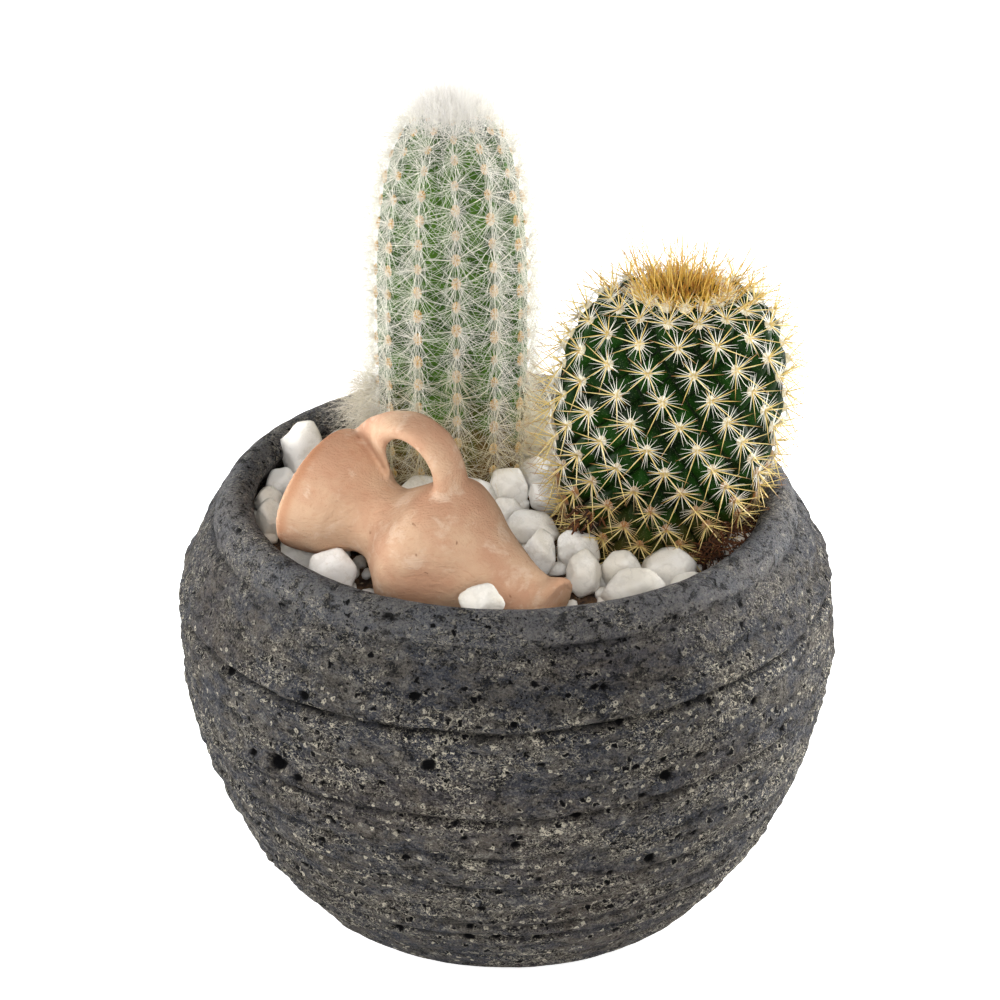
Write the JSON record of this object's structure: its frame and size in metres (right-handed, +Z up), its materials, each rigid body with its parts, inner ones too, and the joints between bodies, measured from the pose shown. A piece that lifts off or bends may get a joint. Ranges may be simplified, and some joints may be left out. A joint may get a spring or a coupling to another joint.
{
  "type": "potted cactus arrangement",
  "caption": "Round dark stone-like pot with a white-haired columnar cactus, a round spiny cactus, white pebbles and a small terracotta jug lying on its side.",
  "frame": {"origin": "centre of the pot's flat foot, where it stands on the table", "axes": "+Z up along the pot's axis; -Y is the front, where the jug lies; +X is to the right seen from the front"},
  "size_m": [0.1414, 0.1414, 0.1755],
  "materials": {
    "pot": "matte",
    "soil": "matte",
    "column_skin": "matte",
    "wool": "matte",
    "round_skin": "satin",
    "crown_spines": "satin",
    "terracotta": "matte",
    "marble": "satin"
  },
  "bodies": {
    "root": {"pot": "pot", "soil": "soil", "column_cactus": "column_skin", "column_cactus_wool": "wool", "round_cactus": "round_skin", "round_cactus_crown": "crown_spines", "jug": "terracotta", "pebble_01": "marble", "pebble_02": "marble", "pebble_03": "marble", "pebble_04": "marble", "pebble_05": "marble", "pebble_06": "marble", "pebble_07": "marble", "pebble_08": "marble", "pebble_09": "marble", "pebble_10": "marble", "pebble_11": "marble", "pebble_12": "marble", "pebble_13": "marble", "pebble_14": "marble", "pebble_15": "marble", "pebble_16": "marble", "pebble_17": "marble", "pebble_18": "marble", "pebble_19": "marble", "pebble_20": "marble", "pebble_21": "marble", "pebble_22": "marble", "pebble_23": "marble", "pebble_24": "marble", "pebble_25": "marble", "pebble_26": "marble", "pebble_27": "marble", "pebble_28": "marble", "pebble_29": "marble", "pebble_30": "marble", "pebble_31": "marble", "pebble_32": "marble", "pebble_33": "marble", "pebble_34": "marble", "pebble_35": "marble", "pebble_36": "marble", "pebble_37": "marble", "pebble_38": "marble", "pebble_39": "marble", "pebble_40": "marble", "pebble_41": "marble", "pebble_42": "marble", "pebble_43": "marble", "pebble_44": "marble", "pebble_45": "marble", "pebble_46": "marble"}
  },
  "joints": []
}
